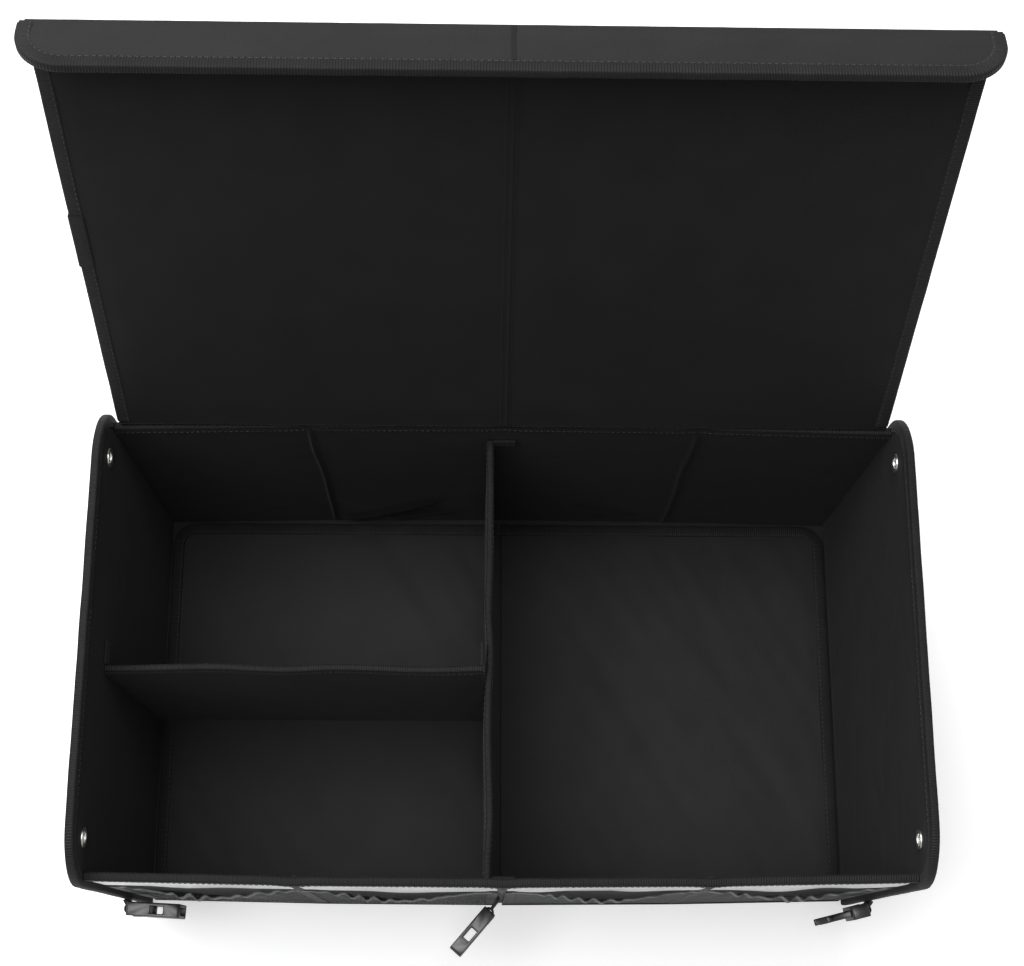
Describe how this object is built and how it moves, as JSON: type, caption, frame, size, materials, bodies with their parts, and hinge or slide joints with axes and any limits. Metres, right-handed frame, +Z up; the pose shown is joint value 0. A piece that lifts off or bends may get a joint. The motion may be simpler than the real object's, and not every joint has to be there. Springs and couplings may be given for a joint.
{
  "type": "car organizer",
  "caption": "open-topped fabric box with stiff covered walls, upright dividers, a hinged lid with a folding lip, outer mesh pockets and side-release buckle halves",
  "frame": {"origin": "centre of the bottom cloth's underside, on the surface that the box stands on", "axes": "+Z up, the long side runs along X, the wall with the mesh pockets faces -Y and the lid is hinged at +Y"},
  "size_m": [0.6112, 0.5436, 0.6242],
  "materials": {
    "cloth": "coated black woven cloth",
    "lining": "thin black woven lining",
    "board": "stiff dark board",
    "binding": "black ribbed ribbon",
    "webbing": "black woven webbing",
    "net": "dark grey knitted mesh",
    "reflective": "silver reflective tape",
    "plastic": "moulded black plastic, satin",
    "nickel": "bright nickel-plated metal"
  },
  "bodies": {
    "box": {"bottom_cloth": "cloth", "left_outer": "cloth", "left_board": "board", "left_lining": "lining", "left_binding": "binding", "right_outer": "cloth", "right_board": "board", "right_lining": "lining", "right_binding": "binding", "front_outer": "cloth", "front_board_1": "board", "front_board_2": "board", "front_board_3": "board", "front_board_4": "board", "front_lining": "lining", "front_binding": "binding", "back_outer": "cloth", "back_board_1": "board", "back_board_2": "board", "back_board_3": "board", "back_board_4": "board", "back_lining": "lining", "back_binding": "binding", "base_left_cover": "cloth", "base_left_board": "board", "base_left_binding": "binding", "base_right_cover": "cloth", "base_right_board": "board", "base_right_binding": "binding", "centre_divider_cover": "cloth", "centre_divider_board": "board", "centre_divider_binding": "binding", "cross_divider_cover": "cloth", "cross_divider_board": "board", "cross_divider_binding": "binding", "eyelet_left_front": "nickel", "eyelet_left_back": "nickel", "eyelet_right_front": "nickel", "eyelet_right_back": "nickel", "reflective_strip": "reflective", "pocket_left": "net", "pocket_right": "net", "hinge_strip": "cloth", "webbing_left": "webbing", "webbing_centre": "webbing", "webbing_right": "webbing"},
    "lid": {"lid_outer": "cloth", "lid_board_left": "board", "lid_board_right": "board", "lid_lining": "lining", "lid_binding_left": "binding", "lid_binding_right": "binding", "lid_centre_tape": "binding"},
    "lip": {"lip_cover": "cloth", "lip_board": "board", "lip_binding": "binding"},
    "left_buckle": {"buckle_left_socket": "plastic"},
    "centre_buckle": {"buckle_centre_socket": "plastic"},
    "right_buckle": {"buckle_right_prong": "plastic"}
  },
  "joints": [
    {"name": "lid_hinge", "type": "hinge", "parent": "box", "child": "lid", "pos_m": [0, 0.1702, 0.285], "axis": [1, 0, 0], "range_deg": [-63, 115]},
    {"name": "lip_hinge", "type": "hinge", "parent": "lid", "child": "lip", "pos_m": [0, 0.3201, 0.60647], "axis": [1, 0, 0], "range_deg": [-150, 0]},
    {"name": "left_buckle_swing", "type": "hinge", "parent": "box", "child": "left_buckle", "pos_m": [-0.2975, -0.184, 0.1], "axis": [0, 0, 1], "range_deg": [-92, 0]},
    {"name": "centre_buckle_swing", "type": "hinge", "parent": "box", "child": "centre_buckle", "pos_m": [-0.009, -0.1865, 0.1], "axis": [0, 0, 1], "range_deg": [-39, 111]},
    {"name": "right_buckle_swing", "type": "hinge", "parent": "box", "child": "right_buckle", "pos_m": [0.2965, -0.184, 0.1], "axis": [0, 0, 1], "range_deg": [-6, 86]}
  ]
}
